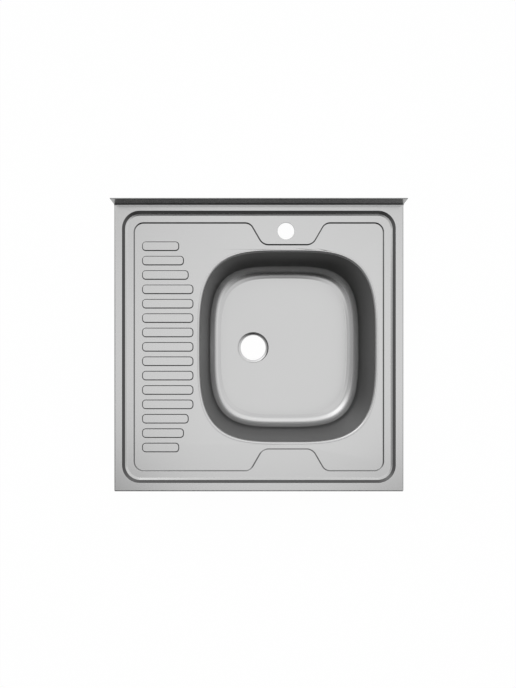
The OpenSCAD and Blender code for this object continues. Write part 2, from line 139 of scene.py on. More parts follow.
# Steps along a rounded corner, a fold, a smooth step, a change of slope in a pressed step, a rib's
# corner, the bowl's rim, its fillet and its floor
CORNER_STEPS = 14
FOLD_STEPS = 8
WAVE_STEPS = 16
EASE_STEPS = 4
RIB_ARC_STEPS = 8
RIM_STEPS = 10
FILLET_STEPS = 18
FLOOR_STEPS = 6

# Pad under the bowl: the studs on its underside, its slanted edge and its hole's radius
STUD_H = 0.8
STUD_PITCH = 9
STUD_FOOT = 3.6
STUD_TOP = 2.6
PAD_EDGE = 0.6
DRAIN_CLEAR = 44.3

# Screws: the head's rounded edge, its cross, the sides round it and the steps in a turn of thread
HEAD_EDGE = 1
CROSS_W = 1
CROSS_DEPTH = 1.2
SCREW_SIDES = 24
THREAD_STEPS = 20
# Shares of the core's radius that the core and the thread have left at the point
TIP_CORE = 1 / 8
TIP_THREAD = 1 / 4

# Head width and height, neck radius and length, core and thread radius, pitch, thread and point length
WOOD_SCREW = (8.4, 2.4, 1.6, 2.4, 1.35, 2, 1.8, 11, 3)
EARTH_SCREW = (9.5, 3.2, 2.2, 1.6, 2.1, 2.5, 0.8, 12.4, 0)

# Foam strips: distance between points along a side, how far a side wavers, and its rounded edge
FOAM_STEP = 12
FOAM_WAVER = 0.35
FOAM_EDGE = 0.9

# Spot welds: radius, height, share of the radius on top, and sides
WELD_R = 2.6
WELD_H = 0.25
WELD_TOP = 0.7
WELD_SIDES = 20
# The rail's flanges and sheet, and how far in from the tap plate's edge its welds are
RAIL_FLANGE = 14
RAIL_T = 1
PLATE_WELD_IN = 7

# Sheet steel: colour and roughness
STEEL = (0.605, 0.605, 0.605)
STEEL_ROUGH = 0.2
# Painted shade on the bowl's steep wall: its tone up to a height above the bowl's floor, its tone at the
# rim, and the wall's roughness
WALL_SHADE_TONE = 0.27
DARKEST_SHADE_HEIGHT = 50
WALL_RIM_SHADE_TONE = 0.38
WALL_ROUGH = 0.5
# Upward parts of the normal between which that painted shade and the roughness set in
WALL_SHADE_FROM = 0.5
WALL_SHADE_TO = 0.15
ROUGH_FROM = 0.94
ROUGH_TO = 0.64
# The painted shade on the deck's presses and folds, and the upward parts between which it sets in
FOLD_SHADE_TONE = 0.3
FOLD_SHADE_FROM = 0.93
FOLD_SHADE_TO = 0.86
# Upward parts between which that painted shade falls to a share, so that upright flanges are less darkened
UPRIGHT_SHADE_FROM = 0.45
UPRIGHT_SHADE_TO = 0.25
UPRIGHT_SHADE_LEFT = 0.7

# Other finishes: colour, colour where worn or in the seams, and roughness
GALVANISED, GALVANISED_WORN, GALVANISED_ROUGH = (0.42, 0.44, 0.46), (0.7, 0.72, 0.74, 1), 0.36
ZINC, ZINC_WORN, ZINC_ROUGH = (0.6, 0.62, 0.6), (0.8, 0.82, 0.84, 1), 0.24
BRASS, BRASS_WORN, BRASS_ROUGH = (0.72, 0.55, 0.26), (0.86, 0.7, 0.38, 1), 0.26
FOAM, FOAM_SEAM, FOAM_ROUGH = (0.045, 0.045, 0.047), (0.02, 0.02, 0.021, 1), 0.92
BITUMEN, BITUMEN_ROUGH = (0.055, 0.056, 0.06), 0.75

# How deep the bumps of each finish are, and how strongly two of them show
STEEL_BUMP, STEEL_BUMP_SHARE = 0.01, 0.2
GALVANISED_BUMP = 0.02
PLATE_BUMP, PLATE_BUMP_SHARE = 0.03, 0.5
FOAM_BUMP = 0.4
BITUMEN_BUMP = 0.25
# How far rubbed edges reach, on galvanised parts and on plated ones
EDGE_REACH = 0.5
PLATE_REACH = 0.3
# How alike the bent and the plain normal are where rubbing begins and where it is full, and the noise
# values between which it is broken up
EDGE_FROM, EDGE_TO = 0.99, 0.8
BREAK_FROM, BREAK_TO = 0.3, 0.6
# Shares of lines and of patches in rolled grain, and the width of a seam between cells
GRAIN_LINES = 0.6
GRAIN_PATCHES = 0.4
SEAM_W = 0.08

# The camera looks straight down; pixels are those of the photograph
SENSOR_W = 36
PHOTO_W, PHOTO_H = 516, 688
CAMERA_AT = Vector((-1.8, 5.9, 1080.0))
PIXELS_PER_MM = 0.4825

# Light: how bright the studio is at an angle from overhead, in degrees, towards each side
SKY_RIGHT = [(0, 1), (20, 1), (27, 0.82), (35, 1.02), (47, 0.9), (59, 0.66), (71, 0.44), (90, 0.26)]
SKY_LEFT = [(0, 1), (17, 1), (22.5, 0.55), (30, 0.5), (46, 0.46), (60, 0.445), (75, 0.43), (90, 0.4)]
SKY_REAR = [(0, 1), (18, 1), (23, 0.74), (29, 1.1), (40, 1.2), (51, 1.2), (63, 1.05), (74, 0.5), (90, 0.3)]
SKY_FRONT = [(0, 1), (18, 1), (23.5, 0.13), (29, 0.06), (60, 0.07), (70, 0.15), (80, 0.3), (90, 0.42)]
# How much brighter a window behind on the left makes it
SKY_WINDOW = [(0, 0), (22, 0), (29, 0.55), (38, 0.85), (54, 0.85), (66, 0.4), (76, 0), (90, 0)]
# The level at the top of the curves' scale
SKY_PEAK = 1.5
WHITE = (1, 1, 1, 1)
# Floor: half its width in metres, cells a side, gap under the object, lit colour, and the share of white
# that the camera or a mirror sees
FLOOR_HALF = 4
FLOOR_CELLS = 8
FLOOR_CLEAR = 0.1
FLOOR_GREY = (0.8, 0.8, 0.8, 1)
FLOOR_GLOW = 0.97
# Lamp: watts, and width and height in metres
LAMP_POWER = 26
LAMP_SIZE = 1.6
LAMP_HEIGHT = 2.2


def point(x, y, z):
    """A place in the model's frame, in metres."""
    return Vector((x * MM, y * MM, (z + TOP_Z) * MM))


def in_mm(box):
    """A box's two corners in millimetres."""
    return [Vector(c) / MM for c in box]


# Camera

def make_camera():
    data = bpy.data.cameras.new("camera")
    focal_pixels = PIXELS_PER_MM * CAMERA_AT.z
    data.sensor_width = SENSOR_W
    data.lens = focal_pixels * data.sensor_width / max(PHOTO_W, PHOTO_H)
    camera = bpy.data.objects.new("camera", data)
    camera.location = point(*CAMERA_AT)
    bpy.context.collection.objects.link(camera)
    bpy.context.scene.camera = camera


make_camera()


# Outlines, as lists of (x, y) that run anticlockwise

def corner(a, b, c, radius, steps):
    """Points along the arc that rounds the corner at b between a and c."""
    u = (Vector(a) - Vector(b)).normalized()
    v = (Vector(c) - Vector(b)).normalized()
    half = math.acos(max(-1, min(1, u.dot(v)))) / 2
    middle = Vector(b) + (u + v).normalized() * radius / math.sin(half)
    start = Vector(b) + u * radius / math.tan(half) - middle
    turn = 1 if u.x * v.y - u.y * v.x > 0 else -1
    sweep = -turn * (math.pi - 2 * half)
    arc = []
    for i in range(steps + 1):
        q = -sweep * i / steps
        spun = Vector((
            start.x * math.cos(q) + start.y * math.sin(q),
            start.y * math.cos(q) - start.x * math.sin(q),
        ))
        arc.append(middle + spun)
    return arc


def rounded(points, radii, steps):
    count = len(points)
    loop = []
    for i in range(count):
        loop += corner(points[i - 1], points[i], points[(i + 1) % count], radii[i], steps)
    return loop


def rectangle(x, y, inset, radius, steps=CORNER_STEPS):
    a, b = x - inset, y - inset
    return rounded([(a, b), (-a, b), (-a, -b), (a, -b)], [radius - inset] * 4, steps)


def panel_outline(inset):
    """The panel's edge with its rear and front ledges, drawn in by an inset."""
    a, b = PANEL_X - inset, PANEL_Y - inset
    reach = PANEL_Y - BOWL_HALF_Y - NOTCH_GAP
    widen = inset * math.tan(NOTCH_ANGLE / 2)
    tip = NOTCH_W / 2 + widen
    foot = tip + reach / math.tan(NOTCH_ANGLE)
    low = b - reach
    points = [
        (a, b), (BOWL_X + foot, b), (BOWL_X + tip, low), (BOWL_X - tip, low), (BOWL_X - foot, b),
        (-a, b), (-a, -b), (BOWL_X - foot, -b), (BOWL_X - tip, -low), (BOWL_X + tip, -low),
        (BOWL_X + foot, -b), (a, -b),
    ]
    out, root, nose = PANEL_R - inset, NOTCH_R - inset, NOTCH_R + inset
    half = [out, root, nose, nose, root, out]
    return rounded(points, half + half, CORNER_STEPS)


def square_round(half_x, half_y):
    """The rounded square of the bowl and of its pad."""
    loop = []
    for i in range(BOWL_SIDES):
        q = 2 * math.pi * i / BOWL_SIDES
        across = abs(math.cos(q) / half_x) ** BOWL_POWER
        along = abs(math.sin(q) / half_y) ** BOWL_POWER
        r = (across + along) ** (-1 / BOWL_POWER)
        loop.append(Vector((BOWL_X + r * math.cos(q), r * math.sin(q))))
    return loop


def circle(x, y, radius, steps):
    turns = [2 * math.pi * i / steps for i in range(steps)]
    return [Vector((x + radius * math.cos(q), y + radius * math.sin(q))) for q in turns]


# Sections, as lists of (across, height)

def arc(middle, radius, start, end, steps=FOLD_STEPS):
    """Points along an arc, its angles in degrees."""
    turns = [math.radians(start + (end - start) * i / steps) for i in range(steps + 1)]
    return [(middle[0] + radius * math.cos(q), middle[1] + radius * math.sin(q)) for q in turns]


def soft_step(share):
    """The share of a smooth step's height at a share of its width."""
    return (1 - math.cos(math.pi * share)) / 2


def step_rows(width, rise):
    """Insets and heights across a smooth step, with a flat strip at either side."""
    shares = [i / WAVE_STEPS for i in range(WAVE_STEPS + 1)]
    rows = [(width * share, rise * soft_step(share)) for share in shares]
    return [(-STRIP, 0)] + rows + [(width + STRIP, rise)]


def pressed_rows(width, rise, press):
    """The same for a step with a section of its own."""
    total = sum((b - a) * (s + t) / 2 for (a, s), (b, t) in zip(press, press[1:]))
    rows = [(-STRIP, 0), (0, 0)]
    height = 0
    for (a, s), (b, t) in zip(press, press[1:]):
        parts = EASE_STEPS if s != t else 1
        for i in range(1, parts + 1):
            q = i / parts
            down = height + (b - a) * (s * q + (t - s) * q * q / 2)
            rows.append((width * (a + (b - a) * q), rise * down / total))
        height += (b - a) * (s + t) / 2
    return rows + [(width + STRIP, rise)]


# Mesh building

def ring(bm, outline, z):
    return [bm.verts.new(point(p[0], p[1], z)) for p in outline]


def band(bm, outer, inner, closed=True):
    """Quads between two rows of points, facing up where the rows run anticlockwise inwards."""
    count = len(outer)
    for i in range(count if closed else count - 1):
        j = (i + 1) % count
        bm.faces.new((outer[i], outer[j], inner[j], inner[i]))


def bands(bm, rows, closed=True):
    for outer, inner in zip(rows, rows[1:]):
        band(bm, outer, inner, closed)


def plate(bm, outer, holes=(), down=False):
    """Flat triangles that fill a loop of points, less its holes."""
    loops = [list(outer)] + [list(h) for h in holes]
    every = [v for loop in loops for v in loop]
    for tri in tessellate_polygon([[v.co for v in loop] for loop in loops]):
        face = bm.faces.new([every[i] for i in tri])
        face.normal_update()
        if (face.normal.z < 0) != down:
            face.normal_flip()


def new_object(name, mesh):
    obj = bpy.data.objects.new(name, mesh)
    bpy.context.collection.objects.link(obj)
    return obj


def finished(bm, name, material, smooth=True):
    """The object that holds a finished mesh."""
    for face in bm.faces:
        face.smooth = smooth
    mesh = bpy.data.meshes.new(name)
    bm.to_mesh(mesh)
    bm.free()
    mesh.materials.clear()
    mesh.materials.append(material)
    return new_object(name, mesh)


def mesh_made(obj):
    """The plain mesh that an object's modifiers make."""
    seen = obj.evaluated_get(bpy.context.evaluated_depsgraph_get())
    return bpy.data.meshes.new_from_object(seen)


def flatten_shading(obj):
    """Keeps flat faces flat beside the curves that they run into, and applies all modifiers."""
    weigh = obj.modifiers.new("flats", "WEIGHTED_NORMAL")
    weigh.keep_sharp = True
    mesh = mesh_made(obj)
    obj.modifiers.clear()
    obj.data = mesh


def thicken(obj):
    """Gives a skin its sheet thickness behind its face."""
    wall = obj.modifiers.new("sheet", "SOLIDIFY")
    wall.thickness = SHEET * MM
    wall.offset = -1
    wall.use_even_offset = True
    flatten_shading(obj)


def dress(obj, slot, *nodes, body="sink"):
    """Fixes a piece to its body and hides the nodes that it stands for. Its slot is not used."""
    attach(obj, body)
    if nodes:
        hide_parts(*nodes)


# Node helpers, for shapes and for materials

def is_socket(value):
    return isinstance(value, bpy.types.NodeSocket)


def put(socket, value):
    """Links a socket to another's value, or sets it."""
    if is_socket(value):
        socket.id_data.links.new(value, socket)
    else:
        socket.default_value = value


def add_node(tree, kind, settings=None, **values):
    """A node with its settings and its input sockets filled in by name."""
    node = tree.nodes.new(kind)
    for key, value in (settings or {}).items():
        setattr(node, key, value)
    for key, value in values.items():
        put(node.inputs[key.replace("_", " ")], value)
    return node


def given_by(tree, kind, output=0):
    """What a node without inputs puts out."""
    return tree.nodes.new(kind).outputs[output]


def worked_out(kind, operation, *values):
    """The outputs of a sum of values, at least one of which is a socket."""
    tree = next(value.id_data for value in values if is_socket(value))
    node = add_node(tree, kind, {"operation": operation})
    for socket, value in zip(node.inputs, values):
        put(socket, value)
    return node.outputs


def maths(operation, *values):
    return worked_out("ShaderNodeMath", operation, *values)[0]


def plus(a, b):
    return maths("ADD", a, b)


def minus(a, b):
    return maths("SUBTRACT", a, b)


def times(a, b):
    return maths("MULTIPLY", a, b)


def over(a, b):
    return maths("DIVIDE", a, b)


def times_plus(a, b, c):
    return maths("MULTIPLY_ADD", a, b, c)


def split(vector):
    return add_node(vector.id_data, "ShaderNodeSeparateXYZ", Vector=vector).outputs


def vector(tree, x=0.0, y=0.0, z=0.0):
    return add_node(tree, "ShaderNodeCombineXYZ", X=x, Y=y, Z=z).outputs[0]


def between(value, low, high, first=0.0, last=1.0):
    """A value carried smoothly from one range to another."""
    node = add_node(value.id_data, "ShaderNodeMapRange", {"interpolation_type": "SMOOTHSTEP"},
                    Value=value, From_Min=low, From_Max=high, To_Min=first, To_Max=last)
    return node.outputs[0]


def add_socket(tree, label, way, kind):
    return tree.interface.new_socket(label, in_out=way, socket_type="NodeSocket" + kind)


# Geometry node helpers

def grown(name, base, grow, sizes, material):
    """The plain mesh that a node tree grows from a base mesh, with an input for each named size."""
    tree = bpy.data.node_groups.new(name, "GeometryNodeTree")
    add_socket(tree, "Geometry", "INPUT", "Geometry")
    for label, value in sizes.items():
        add_socket(tree, label, "INPUT", "Int" if isinstance(value, int) else "Float")
    add_socket(tree, "Material", "INPUT", "Material")
    add_socket(tree, "Geometry", "OUTPUT", "Geometry")
    given = tree.nodes.new("NodeGroupInput").outputs
    real = add_node(tree, "GeometryNodeRealizeInstances", Geometry=grow(tree, given))
    dressed = add_node(tree, "GeometryNodeSetMaterial", Geometry=real.outputs[0],
                       Material=given["Material"])
    put(tree.nodes.new("NodeGroupOutput").inputs[0], dressed.outputs[0])

    maker = new_object(name, base)
    work = maker.modifiers.new(name, "NODES")
    work.node_group = tree
    values = dict(sizes, Material=material)
    for item in tree.interface.items_tree:
        if item.in_out == "INPUT" and item.name in values:
            work[item.identifier] = values[item.name]
    mesh = mesh_made(maker)
    bpy.data.objects.remove(maker)
    return mesh


def point_mesh(name, rows):
    """A mesh of loose points, one for each (x, y, z)."""
    mesh = bpy.data.meshes.new(name)
    mesh.from_pydata([tuple(c * MM for c in row) for row in rows], [], [])
    return mesh


def counted(index, size):
    """How many whole times a size goes into an index, and what is left."""
    whole = maths("FLOOR", over(plus(index, 0.5), size))
    return whole, minus(index, times(whole, size))


def sampled(tree, base, kind, value, index):
    """A value of some kind at one point of a base mesh."""
    node = add_node(tree, "GeometryNodeSampleIndex", {"data_type": kind},
                    Geometry=base, Value=value, Index=index)
    return node.outputs[0]


def grid_sample(tree, base, across):
    """A grid with a row for each base point: its mesh, column and row, and the row's base point."""
    size = add_node(tree, "GeometryNodeAttributeDomainSize", Geometry=base)
    rows = size.outputs["Point Count"]
    grid = add_node(tree, "GeometryNodeMeshGrid", Vertices_X=plus(across, 1.0), Vertices_Y=rows)
    column, row = counted(given_by(tree, "GeometryNodeInputIndex"), rows)
    place = given_by(tree, "GeometryNodeInputPosition")
    return grid.outputs["Mesh"], column, row, split(sampled(tree, base, "FLOAT_VECTOR", place, row))


def moved(tree, mesh, x, y, z):
    """A mesh with its points set from three values, its doubles merged and shaded smooth."""
    placed = add_node(tree, "GeometryNodeSetPosition", Geometry=mesh, Position=vector(tree, x, y, z))
    merged = add_node(tree, "GeometryNodeMergeByDistance", Geometry=placed.outputs[0], Distance=TINY)
    return add_node(tree, "GeometryNodeSetShadeSmooth", Geometry=merged.outputs[0]).outputs[0]


def instances(tree, points, instance):
    node = add_node(tree, "GeometryNodeInstanceOnPoints", Points=points, Instance=instance)
    return node.outputs[0]


def square_sum(power, *pairs):
    """How large a part is of a half width, raised to a power, summed over both axes."""
    shares = [maths("ABSOLUTE", over(part, half)) for part, half in pairs]
    return plus(*[maths("POWER", share, power) for share in shares])


# Ribs

def rib_place(given, index, inset):
    """Where a rib's outline runs: its left end at zero, drawn in by an inset."""
    quarter, along = counted(index, plus(given["Arc steps"], 1.0))
    share = over(along, given["Arc steps"])
    turn = times(plus(quarter, share), math.pi / 2)
    aim = times(plus(quarter, 0.5), math.pi / 2)
    radius = minus(given["Corner"], inset)
    half_l = times(given["Length"], 0.5)
    half_w = times(given["Width"], 0.5)
    places = []
    for half, trig in ((half_l, "COSINE"), (half_w, "SINE")):
        side = maths("SIGN", maths(trig, aim))
        middle = times(side, minus(half, given["Corner"]))
        places.append(times_plus(radius, maths(trig, turn), middle))
    return plus(places[0], half_l), places[1]


def press_ribs(tree, given):
    """Presses one rib from its rows of insets and heights, then sets out and shortens the row of ribs."""
    around = times(plus(given["Arc steps"], 1.0), 4.0)
    wall, column, row, spot = grid_sample(tree, given["Geometry"], around)
    # The last column closes the ring, and a quarter more guards its number against rounding
    wrapped = maths("MODULO", plus(column, 0.25), around)
    x, y = rib_place(given, maths("FLOOR", wrapped), spot["X"])
    side = moved(tree, wall, x, y, spot["Z"])
    disc = add_node(tree, "GeometryNodeMeshCircle", {"fill_type": "NGON"}, Vertices=around)
    x, y = rib_place(given, given_by(tree, "GeometryNodeInputIndex"), given["Crown inset"])
    both = tree.nodes.new("GeometryNodeJoinGeometry")
    put(both.inputs[0], side)
    put(both.inputs[0], moved(tree, disc.outputs[0], x, y, given["Height"]))

    last = minus(given["Count"], 1.0)
    first_y = times(times(last, given["Pitch"]), -0.5)
    feet = add_node(tree, "GeometryNodeMeshLine", Count=given["Count"],
                    Start_Location=vector(tree, given["Left"], first_y, given["Level"]),
                    Offset=vector(tree, y=given["Pitch"]))
    set_out = instances(tree, feet.outputs[0], both.outputs[0])
    real = add_node(tree, "GeometryNodeRealizeInstances", Geometry=set_out)

    place = split(given_by(tree, "GeometryNodeInputPosition"))
    number = maths("ROUND", over(minus(place["Y"], first_y), given["Pitch"]))
    from_end = maths("MINIMUM", number, minus(last, number))
    cuts = maths("MAXIMUM", minus(given["Short ribs"], from_end), 0.0)
    right = maths("GREATER_THAN", place["X"], times_plus(given["Length"], 0.5, given["Left"]))
    back = times(times(cuts, right), given["Cut"])
    shortened = add_node(tree, "GeometryNodeSetPosition", Geometry=real.outputs[0],
                         Offset=vector(tree, times(back, -1.0)))
    return shortened.outputs[0]


def rib_outline(i, inset):
    cuts = max(0, SHORT_RIBS - min(i, RIB_COUNT - 1 - i))
    half = (RIB_L - RIB_CUT * cuts) / 2
    y = (i - (RIB_COUNT - 1) / 2) * RIB_PITCH
    loop = rectangle(half, RIB_W / 2, inset, RIB_R, RIB_ARC_STEPS)
    return [Vector((RIB_LEFT + half + p.x, y + p.y)) for p in loop]


def ribs_mesh(material):
    rows = step_rows(RIB_SLOPE, RIB_H)
    base = point_mesh("rib rows", [(s, 0, z) for s, z in rows])
    return grown("ribs", base, press_ribs, {
        "Count": RIB_COUNT, "Pitch": RIB_PITCH * MM, "Length": RIB_L * MM, "Cut": RIB_CUT * MM,
        "Short ribs": SHORT_RIBS, "Width": RIB_W * MM, "Corner": RIB_R * MM,
        "Crown inset": (RIB_SLOPE + STRIP) * MM, "Height": RIB_H * MM, "Left": RIB_LEFT * MM,
        "Level": (PANEL_Z + TOP_Z) * MM, "Arc steps": RIB_ARC_STEPS,
    }, material)


# Deck

def edge_rows():
    """The folded edge's section, from its return to the border: distance in from the edge, and height."""
    low = -SKIRT + BEND
    rows = [(LIP, -SKIRT + RETURN), (LIP, low + STRIP)]
    rows += arc((LIP - BEND, low), BEND, 0, -90)
    rows += [(LIP - BEND - STRIP, -SKIRT), (BEND + STRIP, -SKIRT)]
    rows += arc((BEND, low), BEND, -90, -180)
    rows += [(0, low + STRIP), (0, -BEND - STRIP)]
    rows += arc((BEND, -BEND), BEND, 180, 90)
    return rows + [(BEND + STRIP, 0)]


def upstand_rows():
    """The upstand's face from the border, up and over its closed hem: distance back, and height."""
    up = Vector((math.sin(LEAN), math.cos(LEAN)))
    middle = Vector((DECK_Y - HEM_R, UPSTAND - HEM_R))
    lean = math.degrees(LEAN)
    hem = [Vector(p) for p in arc(middle, HEM_R, 180 - lean, -lean)]
    foot = hem[0] - up * hem[0].y / up.y
    fold = corner(foot - Vector((FOOT_FOLD, 0)), foot, hem[0], FOOT_FOLD, FOLD_STEPS)
    rows = fold + [fold[-1] + up * STRIP, hem[0] - up * STRIP] + hem
    return rows + [hem[-1] - up * STRIP, hem[-1] - up * HEM]


UPSTAND_ROWS = upstand_rows()
# Where the border ends and the upstand's fold begins
BACK_END = UPSTAND_ROWS[0].x


def edge_path(inset):
    """The way round the left, front and right edges, drawn in by an inset."""
    x, y = DECK_X - inset, DECK_Y - inset
    radius = max(CORNER - inset, SHEET / 4)
    path = [Vector((-x, BACK_END)), Vector((-x, -y + CORNER + STRIP))]
    path += corner((-x, BACK_END), (-x, -y), (x, -y), radius, FOLD_STEPS // 2)
    path += [Vector((-x + CORNER + STRIP, -y)), Vector((x - CORNER - STRIP, -y))]
    path += corner((-x, -y), (x, -y), (x, BACK_END), radius, FOLD_STEPS // 2)
    return path + [Vector((x, -y + CORNER + STRIP)), Vector((x, BACK_END))]


def hole_rows(radius):
    """Radii and heights over a hole's smoothed edge."""
    edge = arc((radius + HOLE_EDGE, -HOLE_EDGE), HOLE_EDGE, 90, 180, FOLD_STEPS // 2)
    return [(radius + HOLE_EDGE + STRIP, 0)] + edge


def make_deck(material):
    bm = bmesh.new()
    edge = [ring(bm, edge_path(s), z) for s, z in edge_rows()]
    bands(bm, edge, closed=False)
    spans = [-DECK_X, -DECK_X + BEND, -DECK_X + BEND + STRIP]
    spans += [-x for x in reversed(spans)]
    wall = [[bm.verts.new(point(x, y, z)) for x in spans] for y, z in UPSTAND_ROWS]
    bands(bm, wall, closed=False)

    rows = pressed_rows(STEP_W, LEDGE_Z, PRESS)
    step = [ring(bm, rectangle(STEP_X, STEP_Y, s, STEP_R), z) for s, z in rows]
    bands(bm, step)
    plate(bm, edge[-1], [step[0]])

    rows = pressed_rows(PANEL_STEP, PANEL_Z - LEDGE_Z, PANEL_PRESS)
    small = [ring(bm, panel_outline(s), LEDGE_Z + z) for s, z in rows]
    bands(bm, small)
    tap_y = BOWL_HALF_Y + NOTCH_GAP + TAP_IN
    tap = [ring(bm, circle(BOWL_X - TAP_LEFT, tap_y, r, BOWL_SIDES // 2), LEDGE_Z + z)
           for r, z in hole_rows(TAP_R)]
    bands(bm, tap)
    plate(bm, step[-1], [small[0], tap[0]])

    feet = [ring(bm, rib_outline(i, -STRIP), PANEL_Z) for i in range(RIB_COUNT)]
    rim = ring(bm, square_round(BOWL_HALF_X + STRIP, BOWL_HALF_Y + STRIP), PANEL_Z)
    plate(bm, small[-1], feet + [rim])
    bm.from_mesh(ribs_mesh(material))
    bmesh.ops.remove_doubles(bm, verts=bm.verts, dist=DOUBLES * MM)
    deck = finished(bm, "deck_sheet", material)
    thicken(deck)
    return deck


# Bowl

def bowl_rows():
    """From rim to drain: how far in, radius about the drain, height, and share of the way to the drain."""
    rows = [(-STRIP, 0, PANEL_Z, 0)]
    rows += [(s, 0, z, 0) for s, z in arc((0, PANEL_Z - RIM_R), RIM_R, 90, 0, RIM_STEPS)]
    end = RIM_R + DRAFT + FLOOR_R
    slope = math.radians(CREASE)
    fillet = arc((end, FLOOR_Z + FLOOR_R / math.cos(slope)), FLOOR_R, 180, 270 - CREASE, FILLET_STEPS)
    ramp = [fillet[-1][0] + STRIP, end - STRIP, end]
    fillet += [(s, FLOOR_Z + (end - s) * math.tan(slope)) for s in ramp]
    rows += [(s, 0, z, 0) for s, z in fillet]
    foot = end + STRIP
    for i in range(FLOOR_STEPS + 1):
        rows.append((foot, SEAT_R + STRIP, FLOOR_Z, i / FLOOR_STEPS))
    seat = pressed_rows(SEAT_R - DRAIN_R - HOLE_EDGE - STRIP, -SEAT_DROP, SEAT_PRESS)
    rows += [(foot, SEAT_R - s, FLOOR_Z + z, 1) for s, z in seat[1:-2]]
    rows += [(foot, r, FLOOR_Z - SEAT_DROP + z, 1) for r, z in hole_rows(DRAIN_R)]
    return rows


def draw_bowl(tree, given):
    """Carries rows of points round a rounded square that turns into the drain's circle."""
    skin, column, row, spot = grid_sample(tree, given["Geometry"], given["Sides"])
    named = add_node(tree, "GeometryNodeInputNamedAttribute", {"data_type": "FLOAT"}, Name="to_drain")
    to_drain = sampled(tree, given["Geometry"], "FLOAT", named.outputs[0], row)
    turn = times(over(column, given["Sides"]), 2 * math.pi)
    cos, sin = maths("COSINE", turn), maths("SINE", turn)
    below = maths("MAXIMUM", minus(spot["X"], given["Rim"]), 0.0)
    half_x = minus(given["Half width"], spot["X"])
    half_y = minus(given["Half depth"], times_plus(below, given["End draft"], spot["X"]))
    total = square_sum(given["Power"], (cos, half_x), (sin, half_y))
    reach = maths("POWER", total, over(-1.0, given["Power"]))
    ends = []
    for part, drain in ((cos, given["Drain X"]), (sin, given["Drain Y"])):
        wall = times(reach, part)
        hole = times_plus(spot["Y"], part, drain)
        ends.append(times_plus(minus(hole, wall), to_drain, wall))
    return moved(tree, skin, plus(ends[0], given["Middle X"]), ends[1], spot["Z"])


def make_bowl(material):
    rows = bowl_rows()
    base = point_mesh("bowl rows", [(s, r, z + TOP_Z) for s, r, z, share in rows])
    shares = base.attributes.new("to_drain", "FLOAT", "POINT")
    shares.data.foreach_set("value", [row[3] for row in rows])
    mesh = grown("bowl_skin", base, draw_bowl, {
        "Sides": BOWL_SIDES, "Half width": BOWL_HALF_X * MM, "Half depth": BOWL_HALF_Y * MM,
        "Power": BOWL_POWER, "Rim": RIM_R * MM, "End draft": END_DRAFT / (DRAFT + FLOOR_R),
        "Middle X": BOWL_X * MM, "Drain X": DRAIN_X * MM, "Drain Y": DRAIN_Y * MM,
    }, material)
    bowl = new_object("bowl_skin", mesh)
    thicken(bowl)
    return bowl


# Foam strips and pad

def make_foam_strip(name, node, material, seed):
    """A strip of soft foam with rounded edges, laid by hand, so that its sides waver a little."""
    low, high = in_mm(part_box(node))
    middle, half = (low + high) / 2, (high - low) / 2
    draw = random.Random(seed)
    along_x = half.x > half.y
    length, width = (half.x, half.y) if along_x else (half.y, half.x)
    count = int(length // FOAM_STEP)
    waver = [draw.uniform(0, FOAM_WAVER) for i in range(2 * count + 2)]
    rows = [(FOAM_EDGE, 0), (FOAM_EDGE / 4, FOAM_EDGE / 3), (0, FOAM_EDGE)]
    rows += [(s, 2 * half.z - z) for s, z in reversed(rows)]
    bm = bmesh.new()
    rings = []
    for inset, z in rows:
        outline = []
        for side in (1, -1):
            for i in range(count + 1):
                a = side * (length - inset) * (1 - 2 * i / count)
                end = min(1, (length - abs(a)) / (FOAM_EDGE * 2) + 0.5)
                b = side * (width - inset - waver[i + (side < 0) * (count + 1)]) * end
                outline.append(Vector((a, b)) if along_x else Vector((-b, a)))
        placed = [Vector((middle.x + p.x, middle.y + p.y)) for p in outline]
        rings.append(ring(bm, placed, low.z + z - TOP_Z))
    bands(bm, rings)
    plate(bm, rings[-1])
    plate(bm, rings[0], down=True)
    bmesh.ops.recalc_face_normals(bm, faces=bm.faces)
    strip = finished(bm, name, material)
    flatten_shading(strip)
    return strip


def set_studs(tree, given):
    """Four-sided studs in a square pattern, inside a rounded square and round the drain."""
    sizes = [times(given[key], 2.0) for key in ("Half width", "Half depth")]
    counts = [maths("FLOOR", over(size, given["Pitch"])) for size in sizes]
    spans = [times(minus(count, 1.0), given["Pitch"]) for count in counts]
    grid = add_node(tree, "GeometryNodeMeshGrid", Size_X=spans[0], Size_Y=spans[1],
                    Vertices_X=counts[0], Vertices_Y=counts[1])
    place = split(given_by(tree, "GeometryNodeInputPosition"))
    pairs = (place["X"], given["Half width"]), (place["Y"], given["Half depth"])
    outside = maths("GREATER_THAN", square_sum(given["Power"], *pairs), 1.0)
    away = [minus(place[axis], given["Drain " + axis]) for axis in ("X", "Y")]
    squares = [maths("POWER", value, 2.0) for value in away]
    near = maths("LESS_THAN", maths("SQRT", plus(*squares)), given["Clear"])
    kept = add_node(tree, "GeometryNodeDeleteGeometry", Geometry=grid.outputs["Mesh"],
                    Selection=maths("MAXIMUM", outside, near))
    stud = add_node(tree, "GeometryNodeMeshCone", Vertices=4, Radius_Top=given["Foot"],
                    Radius_Bottom=given["Top"], Depth=given["Height"])
    set_out = instances(tree, kept.outputs[0], stud.outputs["Mesh"])
    lifted = add_node(tree, "GeometryNodeTransform", Geometry=set_out,
                      Translation=vector(tree, given["Middle X"]))
    return lifted.outputs[0]


